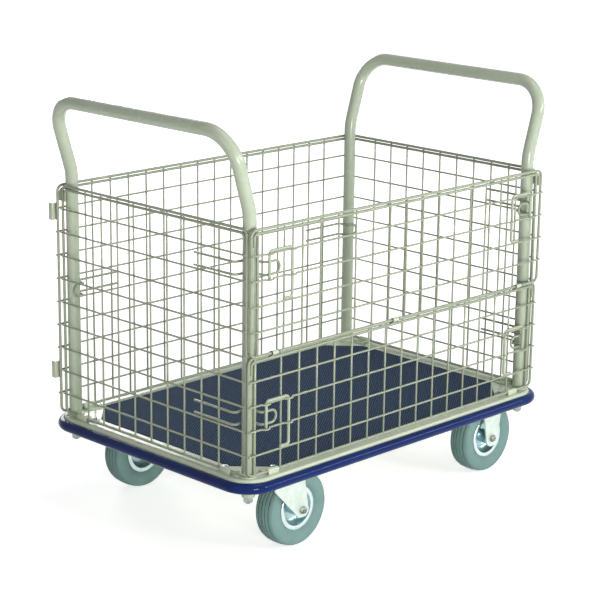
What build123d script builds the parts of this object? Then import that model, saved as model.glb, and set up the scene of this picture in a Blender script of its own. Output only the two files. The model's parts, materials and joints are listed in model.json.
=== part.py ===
from build123d import *
import math
import os

os.makedirs("parts", exist_ok=True)

# Mesh sided platform trolley, in millimetres. The floor is z = 0, the long side lies along X,
# the folding gate is on the -Y side and the swivel casters are at the -X end.
deck_length = 902.0
deck_width = 596.0
deck_skirt = 28.0
deck_corner = 55.0
sheet = 2.0
rim_round = 5.0
mat_inset_x = 47.0
mat_inset_y = 35.0
mat_foot_gap = 7.0
mat_depth = 2.0
mat_thick = 2.5
bumper_bulge = 14.0
bumper_height = 22.0
post_inset = 33.0
post_stub = 40.0
tube_d = 27.2
tube_wall = 1.8
post_straight = 525.0
handle_rise = 156.0
handle_lean = 17.0
handle_corner = 70.0
lean_bend = 110.0
mesh_pitch = 50.0
rod_d = 6.0
wire_d = 4.0
hook_d = 5.0
rail_spacing = 7.4
rail_tail = 32.0
frame_bend = 13.0
stile_inset = 17.0
weld = 0.5
weld_gap = 0.1
flap_step = 6.0
clip_wall = 1.2
clip_width = 22.0
latch_play = 0.35
hairpin_gap = 25.0
saddle_length = 28.0
foot_length = 40.0
wheel_d = 160.0
tyre_width = 52.0
rim_d = 92.0
axle_d = 12.0
swivel_x = 305.0
swivel_trail = 35.0
swivel_y = 235.0
fixed_x = 352.0
fixed_y = 215.0
fork_gap = 62.0
fork_wall = 4.0
plate_length = 104.0
plate_width = 78.0
plate_thick = 4.0
wheel_gap = 8.0
ball_gap = 8.0
bolt_x = 43.0
bolt_y = 22.0

# Positions that follow from the sizes above.
rod_r = rod_d / 2
wire_r = wire_d / 2
hook_r = hook_d / 2
tube_r = tube_d / 2
deck_top = wheel_d + wheel_gap + fork_wall + ball_gap + plate_thick + sheet + mat_depth
skirt_low = deck_top - deck_skirt
floor_top = deck_top - mat_depth
floor_low = floor_top - sheet
mat_length = deck_length - 2 * mat_inset_x
mat_width = deck_width - 2 * mat_inset_y
post_x = deck_length / 2 - post_inset
post_y = deck_width / 2 - post_inset
post_bottom = deck_top - post_stub
lean_start = deck_top + post_straight
panel_low = deck_top + 6.0
gate_y = post_y + tube_r + rod_r + 1.3
flap_y = gate_y + flap_step
back_y = post_y + tube_r + rod_r + 0.3
end_x = post_x + tube_r + rod_r + 0.2
gate_half = post_x + tube_r + 4.8
back_half = post_x + tube_r + 11.3
end_half = post_y + tube_r - 3.7
middle_z = panel_low + 4.84 * mesh_pitch
panel_high = middle_z + 4.97 * mesh_pitch
gate_high = middle_z - 4.0
flap_low = gate_high + 4.0
upper_rows = [middle_z + mesh_pitch * k for k in (4, 3, 2, 1)]
lower_rows = [middle_z - mesh_pitch * k for k in (1, 2, 3, 4)]
wire_out = 1.25
row_out = wire_out + wire_d - weld
bolt_out = wire_out + wire_r + rod_r + 0.3
kink_out = bolt_out + rod_r + wire_r + 0.3
eye_out = bolt_out - rod_r - hook_r - 0.4
long_column = int((gate_half - mesh_pitch) / mesh_pitch) * mesh_pitch
short_column = int((end_half - mesh_pitch) / mesh_pitch) * mesh_pitch
short_leg = gate_half - 42.0
long_leg = long_column - 17.0
# Each saddle clip sits between two upright wires, and the mat's corners are cut clear of the clip feet.
saddle_far = (math.floor((post_x - 49.0) / mesh_pitch) + 0.4) * mesh_pitch + saddle_length / 2
saddle_end_far = (math.floor((post_y - 46.0) / mesh_pitch) + 0.4) * mesh_pitch + saddle_length / 2
mat_cut = mat_length / 2 - saddle_far + foot_length + mat_foot_gap
clip_far = (math.floor((gate_half - 64.5) / mesh_pitch) + 0.44) * mesh_pitch
clip_places = (-clip_far, -0.54 * mesh_pitch, clip_far)
axle_z = wheel_d / 2
axle_r = axle_d / 2
plate_top = floor_low
plate_low = plate_top - plate_thick
corners = [(sx * post_x, sy * post_y) for sx in (-1, 1) for sy in (-1, 1)]


def side_point(side, along, out, z):
    # A point on one cage side: along it, outward from its frame rods, and up.
    if side == "gate":
        return Vector(along, -gate_y - out, z)
    if side == "flap":
        return Vector(along, -flap_y - out, z)
    if side == "back":
        return Vector(along, back_y + out, z)
    if side == "swivel_end":
        return Vector(-end_x - out, along, z)
    return Vector(end_x + out, along, z)


def straight_rod(start, end, radius):
    with BuildPart() as rod:
        with BuildSketch(Plane(origin=start, z_dir=end - start)):
            Circle(radius)
        extrude(amount=(end - start).length)
    return rod.part


def bent_rod(points, radius, bends, closed=False):
    with BuildPart() as rod:
        with BuildLine():
            path = FilletPolyline(*points, radius=bends, close=closed)
        with BuildSketch(Plane(origin=path @ 0, z_dir=path % 0)):
            Circle(radius)
        sweep()
    return rod.part


def kinked_row(side, half, z, legs):
    # A mesh wire that steps outward round each leg of the latch bolts.
    points = [side_point(side, -half, row_out, z)]
    for leg in sorted(legs):
        for shift, out in ((-12.5, row_out), (-5.5, kink_out), (5.5, kink_out), (12.5, row_out)):
            points.append(side_point(side, leg + shift, out, z))
    points.append(side_point(side, half, row_out, z))
    return bent_rod(points, wire_r, 3.0)


def panel_wires(side, half, low, high, column, rows, kinked):
    legs = (-short_leg, -long_leg, long_leg, short_leg)
    wires = []
    count = int(round(column / mesh_pitch))
    for k in range(-count, count + 1):
        start = side_point(side, k * mesh_pitch, wire_out, low)
        wires.append(straight_rod(start, side_point(side, k * mesh_pitch, wire_out, high), wire_r))
    for z in rows:
        if z in kinked:
            wires.append(kinked_row(side, half + 2.0, z, legs))
        else:
            start = side_point(side, -half - 2.0, row_out, z)
            wires.append(straight_rod(start, side_point(side, half + 2.0, row_out, z), wire_r))
    return wires


def panel_frame(side, half, low, high):
    loop = [
        side_point(side, -half, 0, low),
        side_point(side, half, 0, low),
        side_point(side, half, 0, high),
        side_point(side, -half, 0, high),
    ]
    inner = half - rail_spacing
    tail = [
        side_point(side, -inner, 0, high - rail_tail),
        side_point(side, -inner, 0, high - rail_spacing),
        side_point(side, inner, 0, high - rail_spacing),
        side_point(side, inner, 0, high - rail_tail),
    ]
    return [bent_rod(loop, rod_r, frame_bend, True), bent_rod(tail, rod_r, frame_bend - 4.0)]


def welded_panel(side, half, low, high, column, rows, kinked=(), stiles=()):
    pieces = panel_frame(side, half, low, high) + panel_wires(side, half, low, high, column, rows, kinked)
    for along in stiles:
        pieces.append(straight_rod(side_point(side, along, 0, low), side_point(side, along, 0, high), rod_r))
    with BuildPart() as panel:
        add(pieces)
    return panel.part


def mat_outline(grow, z):
    # The outline of the deck mat, cut off at the corners to clear the posts.
    with BuildSketch(Plane.XY.offset(z)) as outline:
        Rectangle(mat_length + 2 * grow, mat_width + 2 * grow)
        chamfer(outline.vertices(), mat_cut + 0.586 * grow)
        fillet(outline.vertices(), 14.0 + grow)
    return outline.sketch


def plate_holes(x, y):
    return [(x + dx, y + dy) for dx in (-bolt_x, bolt_x) for dy in (-bolt_y, bolt_y)]


def caster_bolt_spots():
    spots = []
    for x, far in ((-swivel_x, swivel_y), (fixed_x, fixed_y)):
        for y in (-far, far):
            spots += plate_holes(x, y)
    return spots


# The clips that hold the bottom rods: side, then how far along it the saddle and the foot plate run.
clip_spots = []
for side_name, far in (("gate", saddle_far), ("back", saddle_far)):
    for sign in (-1, 1):
        clip_spots.append((side_name, sign, far))
for side_name in ("swivel_end", "fixed_end"):
    for sign in (-1, 1):
        clip_spots.append((side_name, sign, saddle_end_far))


def clip_bolt_spot(spot):
    side, sign, far = spot
    place = side_point(side, sign * (far - 0.8 * foot_length), -15.5, 0)
    return (place.X, place.Y)


# The pressed deck: a shallow pan with a rounded rim, a sunk floor for the mat and holes for posts and bolts.
with BuildPart() as deck_void:
    with BuildSketch(Plane.XY.offset(skirt_low)):
        RectangleRounded(deck_length - 2 * sheet, deck_width - 2 * sheet, deck_corner - sheet)
    extrude(amount=deck_skirt - sheet)
    fillet(deck_void.faces().sort_by(Axis.Z)[-1].edges(), rim_round - sheet)
with BuildPart() as deck:
    with BuildSketch(Plane.XY.offset(skirt_low)):
        RectangleRounded(deck_length, deck_width, deck_corner)
    extrude(amount=deck_skirt)
    fillet(deck.faces().sort_by(Axis.Z)[-1].edges(), rim_round)
    add(deck_void.part, mode=Mode.SUBTRACT)
    extrude(mat_outline(sheet, floor_low), amount=sheet)
    extrude(mat_outline(0.3, floor_top), amount=mat_depth, mode=Mode.SUBTRACT)
    with BuildSketch(Plane.XY.offset(floor_low - 1)):
        with Locations(*corners):
            Circle(tube_r + 0.1)
        with Locations(*caster_bolt_spots()):
            Circle(4.1)
        with Locations(*[clip_bolt_spot(spot) for spot in clip_spots]):
            Circle(3.1)
    extrude(amount=mat_depth + sheet + 2, mode=Mode.SUBTRACT)
deck.part.label = "deck"
export_step(deck.part, "parts/deck.step")

with BuildPart() as deck_mat:
    extrude(mat_outline(0, floor_top), amount=mat_thick)
deck_mat.part.label = "deck_mat"
export_step(deck_mat.part, "parts/deck_mat.step")

with BuildPart() as bumper:
    with BuildSketch(Plane.XY.offset(skirt_low)):
        full_length = deck_length + 2 * bumper_bulge
        full_width = deck_width + 2 * bumper_bulge
        RectangleRounded(full_length, full_width, deck_corner + bumper_bulge)
    extrude(amount=bumper_height)
    ends = bumper.faces().sort_by(Axis.Z)
    fillet(ends[0].edges() + ends[-1].edges(), bumper_height / 2 - 0.5)
    with BuildSketch(Plane.XY.offset(skirt_low - 1)):
        RectangleRounded(deck_length + 0.1, deck_width + 0.1, deck_corner + 0.05)
    extrude(amount=bumper_height + 2, mode=Mode.SUBTRACT)
bumper.part.label = "bumper"
export_step(bumper.part, "parts/bumper.step")

# Two channels under the deck floor keep the pressed sheet flat.
channel_length = 0.88 * deck_length
channel_y = 0.15 * deck_width
with BuildPart() as deck_stiffeners:
    for sign in (-1, 1):
        with BuildSketch(Plane.YZ.offset(-channel_length / 2)):
            with Locations((sign * channel_y, floor_low - 8.0)):
                Rectangle(40.0, 16.0)
            with Locations((sign * channel_y, floor_low - 7.0)):
                Rectangle(36.0, 14.0, mode=Mode.SUBTRACT)
        extrude(amount=channel_length)
deck_stiffeners.part.label = "deck_stiffeners"
export_step(deck_stiffeners.part, "parts/deck_stiffeners.step")

# The two push handles, each one bent tube whose legs are the corner posts.
handle_high = lean_start + handle_rise
handle_out = handle_rise * math.tan(math.radians(handle_lean))


def handle_tube(sign):
    top_x = sign * (post_x + handle_out)
    points = [
        (sign * post_x, -post_y, post_bottom),
        (sign * post_x, -post_y, lean_start),
        (top_x, -post_y, handle_high),
        (top_x, post_y, handle_high),
        (sign * post_x, post_y, lean_start),
        (sign * post_x, post_y, post_bottom),
    ]
    with BuildPart() as tube:
        with BuildLine():
            path = FilletPolyline(*points, radius=[lean_bend, handle_corner, handle_corner, lean_bend])
        with BuildSketch(Plane(origin=path @ 0, z_dir=path % 0)):
            Circle(tube_r)
            Circle(tube_r - tube_wall, mode=Mode.SUBTRACT)
        sweep()
    return tube.part


for end_name, sign in (("swivel_end", -1), ("fixed_end", 1)):
    handle = handle_tube(sign)
    handle.label = "handle_" + end_name
    export_step(handle, "parts/handle_" + end_name + ".step")

# Fittings at the foot of each post: a flat collar, a socket under the deck and a bolted plug in the open end.
with BuildPart() as post_collars:
    with BuildSketch(Plane.XY.offset(deck_top)):
        with Locations(*corners):
            Circle(tube_r + 4.8)
            Circle(tube_r + 0.1, mode=Mode.SUBTRACT)
    extrude(amount=2.5)
post_collars.part.label = "post_collars"
export_step(post_collars.part, "parts/post_collars.step")

with BuildPart() as post_sockets:
    with BuildSketch(Plane.XY.offset(post_bottom + 10.0)):
        with Locations(*corners):
            Circle(tube_r + 4.0)
            Circle(tube_r + 0.1, mode=Mode.SUBTRACT)
    extrude(amount=deck_top - sheet - post_bottom - 10.0)
post_sockets.part.label = "post_sockets"
export_step(post_sockets.part, "parts/post_sockets.step")

with BuildPart() as post_plugs:
    with BuildSketch(Plane.XY.offset(post_bottom - 2.0)):
        with Locations(*corners):
            Circle(tube_r - 0.5)
    extrude(amount=2.0)
    with BuildSketch(Plane.XY.offset(post_bottom - 13.0)):
        with Locations(*corners):
            RegularPolygon(9.8, 6)
    extrude(amount=11.0)
    with BuildSketch(Plane.XY.offset(post_bottom - 16.0)):
        with Locations(*corners):
            Circle(5.0)
    extrude(amount=3.0)
    with BuildSketch(Plane.XY.offset(post_bottom)):
        with Locations(*corners):
            Circle(tube_r - tube_wall - 0.05)
    extrude(amount=12.0)
post_plugs.part.label = "post_plugs"
export_step(post_plugs.part, "parts/post_plugs.step")

# Welded mesh panels: two ends and the back are fixed, the gate is a lower half and an upper half.
full_rows = upper_rows + [middle_z] + lower_rows
for end_name in ("swivel_end", "fixed_end"):
    end_panel = welded_panel(end_name, end_half, panel_low, panel_high, short_column, full_rows)
    end_panel.label = "panel_" + end_name
    export_step(end_panel, "parts/panel_" + end_name + ".step")

back_panel = welded_panel("back", back_half, panel_low, panel_high, long_column, full_rows)
back_panel.label = "panel_back"
export_step(back_panel, "parts/panel_back.step")

# Each half of the gate has one more upright rod inside each end rod.
stiles = (stile_inset - gate_half, gate_half - stile_inset)
gate_lower = welded_panel("gate", gate_half, panel_low, gate_high, long_column, lower_rows, lower_rows[1:3], stiles)
gate_lower.label = "gate_lower"
export_step(gate_lower, "parts/gate_lower.step")

gate_upper = welded_panel("flap", gate_half, flap_low, panel_high, long_column, upper_rows, upper_rows[0:2], stiles)
gate_upper.label = "gate_upper"
export_step(gate_upper, "parts/gate_upper.step")

# Rolled sheet clips hold the bottom rod of the upper half against the top rod of the lower half.
clip_reach = math.hypot(flap_step, flap_low - gate_high)
with BuildPart() as hinge_clips:
    for x in clip_places:
        centre = Vector(x - clip_width / 2, -(gate_y + flap_y) / 2, (gate_high + flap_low) / 2)
        across = Vector(0, -flap_step, flap_low - gate_high)
        with BuildSketch(Plane(origin=centre, x_dir=across, z_dir=(1, 0, 0))):
            SlotCenterToCenter(clip_reach, 2 * (rod_r + 0.1 + clip_wall))
            SlotCenterToCenter(clip_reach, 2 * (rod_r + 0.1), mode=Mode.SUBTRACT)
        extrude(amount=clip_width)
hinge_clips.part.label = "hinge_clips"
export_step(hinge_clips.part, "parts/hinge_clips.step")


# Each latch bolt is a bent rod: a short leg that closes the hook and a long leg with a turned foot.
def latch_bolt(side, sign, arm_row, tip_row, foot_row):
    arm_z = arm_row + wire_r + rod_r + latch_play
    foot_z = foot_row + wire_r + rod_r + latch_play
    points = [
        side_point(side, sign * short_leg, bolt_out, tip_row - 3.0),
        side_point(side, sign * short_leg, bolt_out, arm_z),
        side_point(side, sign * long_leg, bolt_out, arm_z),
        side_point(side, sign * long_leg, bolt_out, foot_z),
        side_point(side, sign * (long_leg + 23.0), bolt_out, foot_z),
    ]
    return bent_rod(points, rod_r, [9.0, 9.0, 6.0])


latch_sets = (("gate", "lower", lower_rows[1:4]), ("flap", "upper", upper_rows[0:3]))
for side_name, half_name, levels in latch_sets:
    for end_name, sign in (("swivel_end", -1), ("fixed_end", 1)):
        latch = latch_bolt(side_name, sign, *levels)
        latch.label = "latch_" + half_name + "_" + end_name
        export_step(latch, "parts/latch_" + half_name + "_" + end_name + ".step")

# The hooks the bolts close on: hairpins on the end panels, round the post and into the gate's end cell.
hook_tip = long_column + 12.0


def gate_hook(side, sign, high):
    eye = side_point(side, 0, eye_out, 0).Y
    panel_x = sign * (end_x + wire_out + wire_r + hook_r + weld_gap)
    inner_x = sign * (post_x - tube_r - hook_r - 0.8)
    inner_y = -(post_y - tube_r - hook_r - 0.5)
    plan = [(panel_x, -short_column + 65.0), (panel_x, inner_y), (inner_x, inner_y), (inner_x, eye)]
    points = [(x, y, high) for x, y in plan]
    points += [(sign * hook_tip, eye, high), (sign * hook_tip, eye, high - hairpin_gap)]
    points += [(x, y, high - hairpin_gap) for x, y in reversed(plan)]
    tip = hairpin_gap / 2 - 0.2
    return bent_rod(points, hook_r, [9.0, 9.0, 9.0, tip, tip, 9.0, 9.0, 9.0])


for half_name, side_name, row in (("lower", "gate", lower_rows[1]), ("upper", "flap", upper_rows[0])):
    pair = [gate_hook(side_name, sign, row - 0.7 * (mesh_pitch - hairpin_gap)) for sign in (-1, 1)]
    with BuildPart() as hooks:
        add(pair)
    hooks.part.label = "hooks_" + half_name
    export_step(hooks.part, "parts/hooks_" + half_name + ".step")


# Hairpins at mid height tie the back panel to the rear posts.
def back_hook(sign):
    inner_x = sign * (post_x - tube_r - hook_r - 0.5)
    inner_y = post_y - tube_r - hook_r - 0.3
    panel_y = back_y + wire_out - wire_r - hook_r - weld_gap
    high = middle_z + 39.0
    plan = [(sign * (long_column - 60.0), panel_y), (inner_x, panel_y), (inner_x, inner_y)]
    points = [(x, y, high) for x, y in plan]
    tip_x = sign * (end_x - rod_r - hook_r - 1.5)
    points += [(tip_x, inner_y, high), (tip_x, inner_y, high - hairpin_gap)]
    points += [(x, y, high - hairpin_gap) for x, y in reversed(plan)]
    tip = hairpin_gap / 2 - 0.2
    return bent_rod(points, hook_r, [8.0, 8.0, tip, tip, 8.0, 8.0])


back_pair = [back_hook(sign) for sign in (-1, 1)]
with BuildPart() as hooks_back:
    add(back_pair)
hooks_back.part.label = "hooks_back"
export_step(hooks_back.part, "parts/hooks_back.step")

# Plates with a folded lip on the end rods of the back panel.
plate_y = back_y + row_out + wire_r + 1.35
with BuildPart() as back_plates:
    for sign in (-1, 1):
        for z in (middle_z + 3.86 * mesh_pitch, middle_z - 2.98 * mesh_pitch):
            with Locations((sign * (back_half + 3.5), plate_y, z)):
                Box(13.0, 2.5, 36.0)
            with Locations((sign * (back_half + 8.75), plate_y + 5.0, z)):
                Box(2.5, 10.0, 36.0)
back_plates.part.label = "back_plates"
export_step(back_plates.part, "parts/back_plates.step")


# Saddle clips bolted to the deck hold the bottom rods; the gate turns in its two.
def saddle_clip(spot):
    side, sign, far = spot
    inward = side_point(side, 0, -1, 0) - side_point(side, 0, 0, 0)
    run = inward.cross(Vector(0, 0, 1))
    along = side_point(side, 1, 0, 0) - side_point(side, 0, 0, 0)
    if run.dot(along) * sign > 0:
        saddle_from, foot_from = far - saddle_length, far - foot_length
    else:
        saddle_from, foot_from = -far, -far
    origin = side_point(side, 0, 0, deck_top)
    saddle_low = panel_low - deck_top
    bore = rod_r + 0.1
    with BuildPart() as clip:
        with BuildSketch(Plane(origin=origin, x_dir=inward, z_dir=run).offset(saddle_from)):
            with Locations((0, saddle_low)):
                Circle(bore + 2.2)
            with Locations((0, saddle_low / 2)):
                Rectangle(2 * bore + 4.4, saddle_low)
            with Locations((0, saddle_low)):
                Circle(bore, mode=Mode.SUBTRACT)
            with Locations((0, saddle_low / 2 - 1)):
                Rectangle(2 * bore, saddle_low + 2, mode=Mode.SUBTRACT)
        extrude(amount=saddle_length)
        with BuildSketch(Plane(origin=origin, x_dir=inward, z_dir=run).offset(foot_from)):
            with Locations((14.2, 1.25)):
                Rectangle(19.6, 2.5)
        extrude(amount=foot_length)
        with BuildSketch(Plane.XY.offset(deck_top - 1)):
            with Locations(clip_bolt_spot(spot)):
                Circle(3.1)
        extrude(amount=5.0, mode=Mode.SUBTRACT)
    return clip.part


for group, members in (("gate", clip_spots[0:2]), ("fixed", clip_spots[2:8])):
    clips = [saddle_clip(spot) for spot in members]
    with BuildPart() as saddles:
        add(clips)
    saddles.part.label = "saddles_" + group
    export_step(saddles.part, "parts/saddles_" + group + ".step")

with BuildPart() as saddle_bolts:
    spots = [clip_bolt_spot(spot) for spot in clip_spots]
    with BuildSketch(Plane.XY.offset(deck_top + 2.5)):
        with Locations(*spots):
            RegularPolygon(5.8, 6)
    extrude(amount=4.2)
    with BuildSketch(Plane.XY.offset(deck_top - sheet - 1.2)):
        with Locations(*spots):
            Circle(3.0)
    extrude(amount=sheet + 4.0)
saddle_bolts.part.label = "saddle_bolts"
export_step(saddle_bolts.part, "parts/saddle_bolts.step")

# Casters. The crown of a swivel fork hangs under its top plate on a ring of balls.
crown_top = plate_low - ball_gap
crown_low = crown_top - fork_wall
arm_mid = fork_gap / 2 + fork_wall / 2

with BuildPart() as caster_bolts:
    with BuildSketch(Plane.XY.offset(plate_low - 5.5)):
        with Locations(*caster_bolt_spots()):
            RegularPolygon(7.5, 6)
    extrude(amount=5.5)
    with BuildSketch(Plane.XY.offset(plate_low)):
        with Locations(*caster_bolt_spots()):
            Circle(4.0)
    extrude(amount=plate_thick + sheet)
caster_bolts.part.label = "caster_bolts"
export_step(caster_bolts.part, "parts/caster_bolts.step")


def swivel_plate(y):
    with BuildPart() as plate:
        with BuildSketch(Plane.XY.offset(plate_low)):
            with Locations((-swivel_x, y)):
                RectangleRounded(plate_length, plate_width, 8.0)
        extrude(amount=plate_thick)
        with BuildSketch(Plane.XY.offset(crown_top + 0.6)):
            with Locations((-swivel_x, y)):
                Circle(29.0)
        extrude(amount=plate_low - crown_top - 0.6)
        with BuildSketch(Plane.XY.offset(crown_top + 0.6)):
            with Locations((-swivel_x, y)):
                Circle(24.0)
                Circle(16.0, mode=Mode.SUBTRACT)
        extrude(amount=4.5, mode=Mode.SUBTRACT)
        with BuildSketch(Plane.XY.offset(crown_top)):
            with Locations(*plate_holes(-swivel_x, y)):
                Circle(4.1)
            with Locations((-swivel_x, y)):
                Circle(6.05)
        extrude(amount=plate_top - crown_top, mode=Mode.SUBTRACT)
    return plate.part


def swivel_pin(y):
    with BuildPart() as pin:
        with BuildSketch(Plane.XY.offset(crown_low - 6.5)):
            with Locations((-swivel_x, y)):
                Circle(6.0)
        extrude(amount=plate_top - crown_low + 6.5)
        with BuildSketch(Plane.XY.offset(crown_low - 5.5)):
            with Locations((-swivel_x, y)):
                RegularPolygon(10.4, 6)
        extrude(amount=5.1)
    return pin.part


def swivel_balls(y):
    with BuildPart() as balls:
        with Locations((-swivel_x, y, crown_top + 2.6)):
            with PolarLocations(20.0, 16):
                Sphere(2.5)
    return balls.part


def swivel_fork(y):
    axle_x = -swivel_x + swivel_trail
    outline = [
        (-swivel_x - 42.0, crown_top),
        (-swivel_x - 42.0, axle_z + 56.0),
        (axle_x - 20.0, axle_z - 4.0),
        (axle_x - 12.0, axle_z - 15.0),
        (axle_x + 10.0, axle_z - 15.0),
        (axle_x + 18.0, axle_z - 4.0),
        (-swivel_x + 42.0, axle_z + 56.0),
        (-swivel_x + 42.0, crown_top),
    ]
    with BuildPart() as fork:
        for side in (-1, 1):
            with BuildSketch(Plane(origin=(0, y + side * arm_mid, 0), x_dir=(1, 0, 0), z_dir=(0, -1, 0))) as arm:
                Polygon(*outline, align=None)
                fillet(arm.vertices().group_by(Axis.Y)[0], 6.0)
                with Locations((axle_x, axle_z)):
                    Circle(axle_r + 0.05, mode=Mode.SUBTRACT)
            extrude(amount=fork_wall / 2, both=True)
        with BuildSketch(Plane.XY.offset(crown_low)):
            with Locations((-swivel_x, y)):
                Rectangle(84.0, fork_gap + 2 * fork_wall)
        extrude(amount=fork_wall)
        fillet(fork.edges().filter_by(Axis.X).group_by(Axis.Z)[-1], 3.0)
        with BuildSketch(Plane.XY.offset(crown_low - 1)):
            with Locations((-swivel_x, y)):
                Circle(6.06)
        extrude(amount=fork_wall + 2, mode=Mode.SUBTRACT)
    return fork.part


def fixed_fork(y):
    with BuildPart() as fork:
        for side in (-1, 1):
            with BuildSketch(Plane(origin=(0, y + side * arm_mid, 0), x_dir=(1, 0, 0), z_dir=(0, -1, 0))):
                Polygon(
                    (fixed_x - 36.0, plate_low),
                    (fixed_x - 19.0, axle_z),
                    (fixed_x + 19.0, axle_z),
                    (fixed_x + 36.0, plate_low),
                    align=None,
                )
                with Locations((fixed_x, axle_z)):
                    Circle(19.0)
                    Circle(axle_r + 0.05, mode=Mode.SUBTRACT)
            extrude(amount=fork_wall / 2, both=True)
        with BuildSketch(Plane.XY.offset(plate_low)):
            with Locations((fixed_x, y)):
                RectangleRounded(plate_length, plate_width, 8.0)
            with Locations(*plate_holes(fixed_x, y)):
                Circle(4.1, mode=Mode.SUBTRACT)
        extrude(amount=plate_thick)
    return fork.part


def wheel_plane(x, y):
    return Plane(origin=(x, y, axle_z), x_dir=(0, 1, 0), z_dir=(1, 0, 0))


def tyre(x, y):
    half = tyre_width / 2
    bead = half - 7.4
    seat = rim_d / 2 - 5.85
    tread = wheel_d / 2
    with BuildPart() as rubber:
        with BuildSketch(wheel_plane(x, y)) as section:
            with BuildLine():
                Polyline((-bead, rim_d / 2 + 1.5), (-bead, seat), (bead, seat), (bead, rim_d / 2 + 1.5))
                ThreePointArc((bead, rim_d / 2 + 1.5), (half, tread - 17.0), (half - 6.0, tread - 2.4))
                ThreePointArc((half - 6.0, tread - 2.4), (0, tread), (6.0 - half, tread - 2.4))
                ThreePointArc((6.0 - half, tread - 2.4), (-half, tread - 17.0), (-bead, rim_d / 2 + 1.5))
            make_face()
            with Locations((-14.0, tread - 0.5), (-4.8, tread), (4.8, tread), (14.0, tread - 0.5)):
                Rectangle(2.4, 5.0, mode=Mode.SUBTRACT)
        revolve(axis=Axis((x, y, axle_z), (0, 1, 0)))
    return rubber.part


def rim(x, y):
    half = tyre_width / 2
    seat = rim_d / 2 - 6.0
    with BuildPart() as steel:
        with BuildSketch(wheel_plane(x, y)):
            with Locations((0, seat - 2.0)):
                Rectangle(tyre_width - 10.5, 4.0)
            for side in (-1, 1):
                with Locations((side * (half - 6.25), rim_d / 2 - 5.0)):
                    Rectangle(2.0, 10.0)
            with Locations((0, (seat + 14.0) / 2 - 1.0)):
                Rectangle(4.0, seat - 16.0)
            with Locations((0, 12.75)):
                Rectangle(tyre_width + 2.0, 5.46)
        revolve(axis=Axis((x, y, axle_z), (0, 1, 0)))
    return steel.part


def bearings(x, y):
    with BuildPart() as rings:
        with BuildSketch(wheel_plane(x, y)):
            for side in (-1, 1):
                with Locations((side * (tyre_width / 2 - 3.0), 8.025)):
                    Rectangle(8.0, 3.95)
        revolve(axis=Axis((x, y, axle_z), (0, 1, 0)))
    return rings.part


def axle(x, y, outward):
    # The axle bolt with its head outward, its nut inward and a spacer at each end of the hub.
    grip = fork_gap / 2 + fork_wall
    hub = tyre_width / 2 + 1.0
    with BuildPart() as bolt:
        with BuildSketch(Plane(origin=(x, y, axle_z), x_dir=(1, 0, 0), z_dir=(0, outward, 0)).offset(-grip - 7.5)):
            Circle(axle_r)
        extrude(amount=2 * grip + 7.5)
        for start, high in ((grip, 5.5), (-grip - 5.5, 5.5)):
            with BuildSketch(Plane(origin=(x, y, axle_z), x_dir=(1, 0, 0), z_dir=(0, outward, 0)).offset(start)):
                RegularPolygon(8.3, 6)
            extrude(amount=high)
        for start in (hub + 0.15, -fork_gap / 2 + 0.1):
            with BuildSketch(Plane(origin=(x, y, axle_z), x_dir=(1, 0, 0), z_dir=(0, outward, 0)).offset(start)):
                Circle(10.0)
            extrude(amount=fork_gap / 2 - hub - 0.25)
    return bolt.part


for side_name, side in (("gate", -1), ("back", 1)):
    pieces = {
        "swivel_plate_" + side_name: swivel_plate(side * swivel_y),
        "swivel_pin_" + side_name: swivel_pin(side * swivel_y),
        "swivel_balls_" + side_name: swivel_balls(side * swivel_y),
        "swivel_fork_" + side_name: swivel_fork(side * swivel_y),
        "fixed_fork_" + side_name: fixed_fork(side * fixed_y),
    }
    wheel_spots = (("swivel", swivel_trail - swivel_x, side * swivel_y), ("fixed", fixed_x, side * fixed_y))
    for end_name, x, y in wheel_spots:
        tail = end_name + "_" + side_name
        pieces["tyre_" + tail] = tyre(x, y)
        pieces["rim_" + tail] = rim(x, y)
        pieces["bearings_" + tail] = bearings(x, y)
        pieces["axle_" + tail] = axle(x, y, side)
    for name, piece in pieces.items():
        piece.label = name
        export_step(piece, "parts/" + name + ".step")
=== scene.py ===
import json
import math

import bmesh
import bpy
from mathutils import Matrix, Quaternion, Vector


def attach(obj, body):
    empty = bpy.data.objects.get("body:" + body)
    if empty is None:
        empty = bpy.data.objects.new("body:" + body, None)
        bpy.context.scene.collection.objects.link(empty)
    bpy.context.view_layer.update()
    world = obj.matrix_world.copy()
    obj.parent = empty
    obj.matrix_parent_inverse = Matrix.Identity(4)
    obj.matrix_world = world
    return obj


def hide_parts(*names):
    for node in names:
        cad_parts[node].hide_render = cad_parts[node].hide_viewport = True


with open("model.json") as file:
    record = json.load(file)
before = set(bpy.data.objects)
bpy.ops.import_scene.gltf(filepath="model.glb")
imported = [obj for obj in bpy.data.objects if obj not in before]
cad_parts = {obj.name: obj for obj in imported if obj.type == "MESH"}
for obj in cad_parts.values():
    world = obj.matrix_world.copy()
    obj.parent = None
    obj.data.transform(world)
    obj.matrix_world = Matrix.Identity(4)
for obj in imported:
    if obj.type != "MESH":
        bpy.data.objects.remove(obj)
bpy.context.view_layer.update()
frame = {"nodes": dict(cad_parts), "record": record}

# Sizes are in millimetres, as in the CAD source, and are scaled once when a mesh is made.
MM = 0.001

# Deck, mat and bumper.
DECK_L, DECK_W, DECK_TOP, DECK_LOW, DECK_R = 902.0, 596.0, 188.0, 160.0, 55.0
SHEET, RIM = 2.0, 5.0
MAT_L, MAT_W, MAT_CUT, MAT_FLOOR, MAT_TOP = 808.0, 526.0, 67.0, 186.0, 188.5
MAT_BEND, MAT_CUT_GROWTH = 14.0, 0.586
MAT_SLANT, MAT_PITCH, MAT_RIB = 36.0, 5.0, 0.7
# Where a rib's valley and crest lie, as shares of the pitch.
RIB_VALLEY, RIB_CREST = (0.0, 0.22), (0.42, 0.80)
BULGE, BUMPER_TOP, BUMPER_FLAT = 14.0, 182.0, 3.5

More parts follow.
